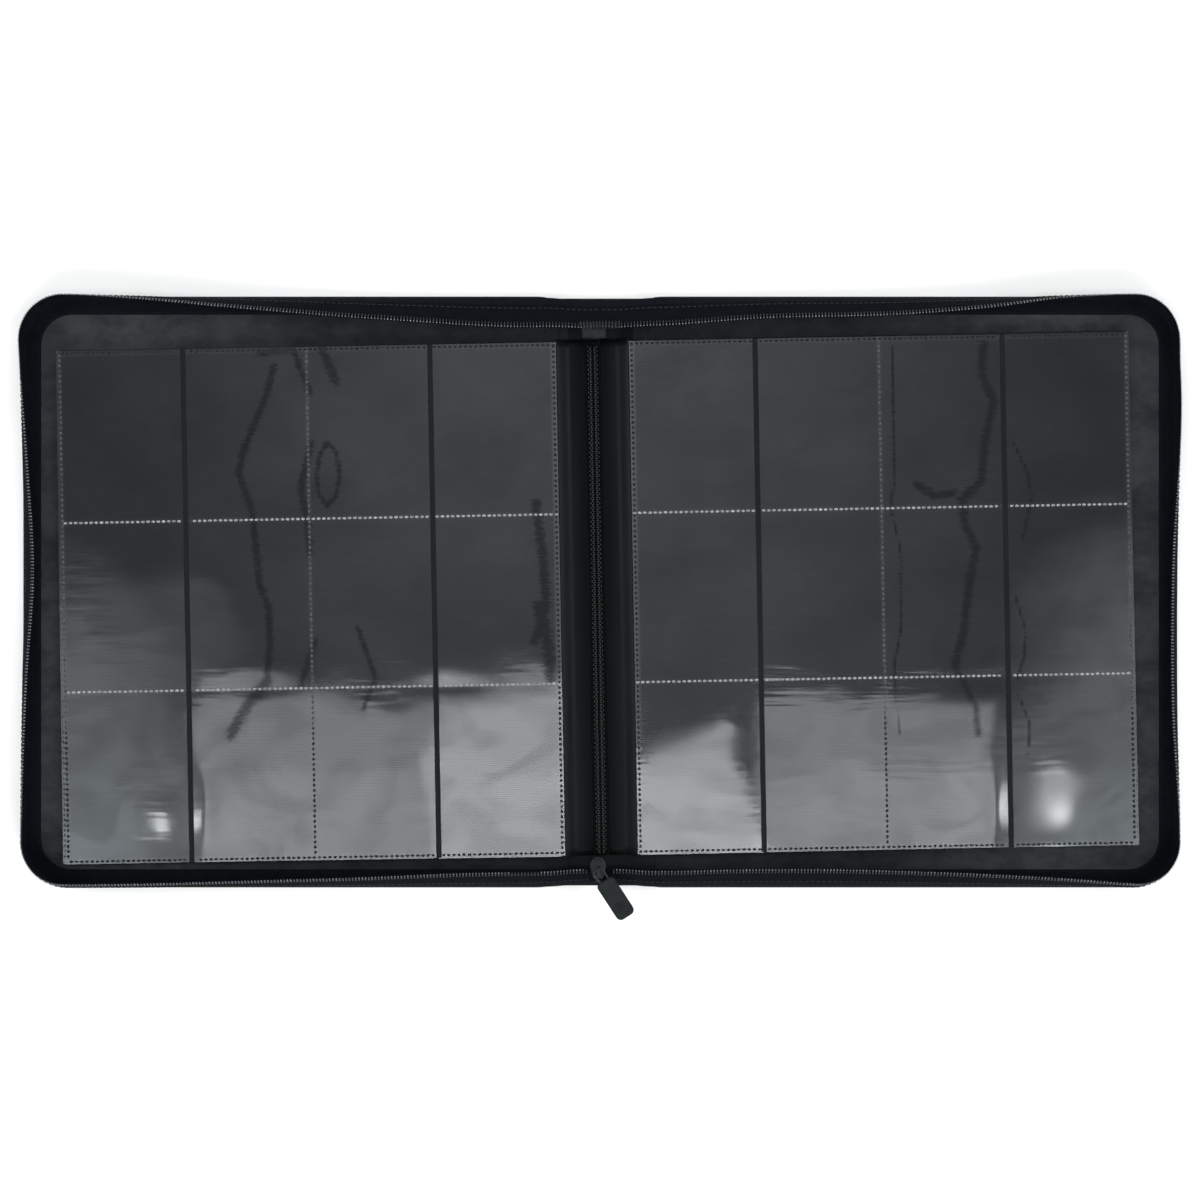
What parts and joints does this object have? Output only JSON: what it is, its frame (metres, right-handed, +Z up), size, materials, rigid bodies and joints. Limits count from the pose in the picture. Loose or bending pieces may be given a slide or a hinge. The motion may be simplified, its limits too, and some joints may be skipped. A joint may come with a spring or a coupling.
{
  "type": "trading card binder",
  "caption": "Square zip-round card binder, open flat, with leaves of side-loading clear pockets bound to a narrow spine.",
  "frame": {"origin": "on the table, under the middle of the spine", "axes": "+X towards the right cover with the binder open, +Y towards the head, +Z up, out of the open pages"},
  "size_m": [0.652, 0.3495, 0.0235],
  "materials": {
    "pu_skin": "black grained polyurethane leather",
    "stiffening_board": "grey pressed board, sealed inside the skin",
    "lining": "charcoal napped microfibre",
    "spine_cloth": "smooth black sheet",
    "gusset_cloth": "black woven nylon",
    "zip_tape": "black woven polyester tape",
    "end_tab": "dark grey woven tab",
    "zip_teeth": "black nylon coil",
    "binding_strip": "black sheet, pressed down",
    "stitching": "grey thread",
    "leaf_sheet": "dark slate ribbed sheet between clear films",
    "leaf_backing": "dark slate sheet with fine ribs",
    "clear_film": "clear glossy polypropylene film",
    "slider_metal": "black enamelled zinc",
    "pull_rubber": "dark grey moulded rubber"
  },
  "bodies": {
    "spine": {"spine_skin": "pu_skin", "spine_board": "stiffening_board", "spine_lining": "spine_cloth", "left_hinge_fold": "pu_skin", "right_hinge_fold": "pu_skin", "top_end_gusset": "gusset_cloth", "top_end_tape": "zip_tape", "top_end_teeth": "zip_teeth", "zip_end_tab": "end_tab", "bottom_end_gusset": "gusset_cloth", "bottom_end_tape": "zip_tape", "bottom_end_teeth": "zip_teeth", "binding_margins": "spine_cloth", "binding_strip": "binding_strip", "binding_stitches": "stitching"},
    "left_cover": {"left_cover_skin": "pu_skin", "left_cover_board": "stiffening_board", "left_cover_lining": "lining", "left_zip_gusset": "gusset_cloth", "left_zip_tape": "zip_tape", "left_zip_teeth": "zip_teeth"},
    "right_cover": {"right_cover_skin": "pu_skin", "right_cover_board": "stiffening_board", "right_cover_lining": "lining", "right_zip_gusset": "gusset_cloth", "right_zip_tape": "zip_tape", "right_zip_teeth": "zip_teeth"},
    "left_leaves": {"left_leaf_02": "leaf_sheet", "left_leaf_03": "leaf_sheet", "left_leaf_04": "leaf_sheet", "left_leaf_05": "leaf_sheet", "left_leaf_06": "leaf_sheet", "left_leaf_07": "leaf_sheet", "left_leaf_08": "leaf_sheet", "left_leaf_09": "leaf_sheet", "left_leaf_10": "leaf_sheet"},
    "right_leaves": {"right_leaf_02": "leaf_sheet", "right_leaf_03": "leaf_sheet", "right_leaf_04": "leaf_sheet", "right_leaf_05": "leaf_sheet", "right_leaf_06": "leaf_sheet", "right_leaf_07": "leaf_sheet", "right_leaf_08": "leaf_sheet", "right_leaf_09": "leaf_sheet", "right_leaf_10": "leaf_sheet"},
    "left_top_leaf": {"left_leaf_01_backing": "leaf_backing", "left_leaf_01_front_film": "clear_film", "left_leaf_01_back_film": "clear_film"},
    "right_top_leaf": {"right_leaf_01_backing": "leaf_backing", "right_leaf_01_front_film": "clear_film", "right_leaf_01_back_film": "clear_film"},
    "zip_slider": {"zip_slider": "slider_metal", "slider_bridge": "slider_metal"},
    "zip_pull": {"pull_link": "slider_metal", "pull_grip": "pull_rubber"}
  },
  "joints": [
    {"name": "left_cover_fold", "type": "hinge", "parent": "spine", "child": "left_cover", "pos_m": [-0.024, 0, 0.0006], "axis": [0, 1, 0], "range_deg": [0, 90]},
    {"name": "right_cover_fold", "type": "hinge", "parent": "spine", "child": "right_cover", "pos_m": [0.024, 0, 0.0006], "axis": [0, -1, 0], "range_deg": [0, 90]},
    {"name": "left_leaves_fold", "type": "hinge", "parent": "spine", "child": "left_leaves", "pos_m": [-0.0177, -0.00379, 0.0006], "axis": [-0.0183, 0.9998, 0], "range_deg": [0, 90]},
    {"name": "right_leaves_fold", "type": "hinge", "parent": "spine", "child": "right_leaves", "pos_m": [0.0143, -0.00321, 0.0006], "axis": [0.0183, -0.9998, 0], "range_deg": [0, 90]},
    {"name": "left_leaf_turn", "type": "hinge", "parent": "left_leaves", "child": "left_top_leaf", "pos_m": [-0.0017, -0.0035, 0.01135], "axis": [0.0183, -0.9998, 0], "range_deg": [-180, 0]},
    {"name": "right_leaf_turn", "type": "hinge", "parent": "right_leaves", "child": "right_top_leaf", "pos_m": [-0.0017, -0.0035, 0.01135], "axis": [-0.0183, 0.9998, 0], "range_deg": [-180, 0]},
    {"name": "slider_run", "type": "slide", "parent": "spine", "child": "zip_slider", "axis": [0, -1, 0], "range_m": [-0.006, 0]},
    {"name": "pull_swing", "type": "hinge", "parent": "zip_slider", "child": "zip_pull", "pos_m": [-0.001, -0.1555, 0.0204], "axis": [0.8387, 0.5446, 0], "range_deg": [-160, 0]}
  ],
  "couplings": [
    {"joint": "left_leaves_fold", "follows": "left_cover_fold", "ratio": 1},
    {"joint": "right_leaves_fold", "follows": "right_cover_fold", "ratio": 1}
  ]
}
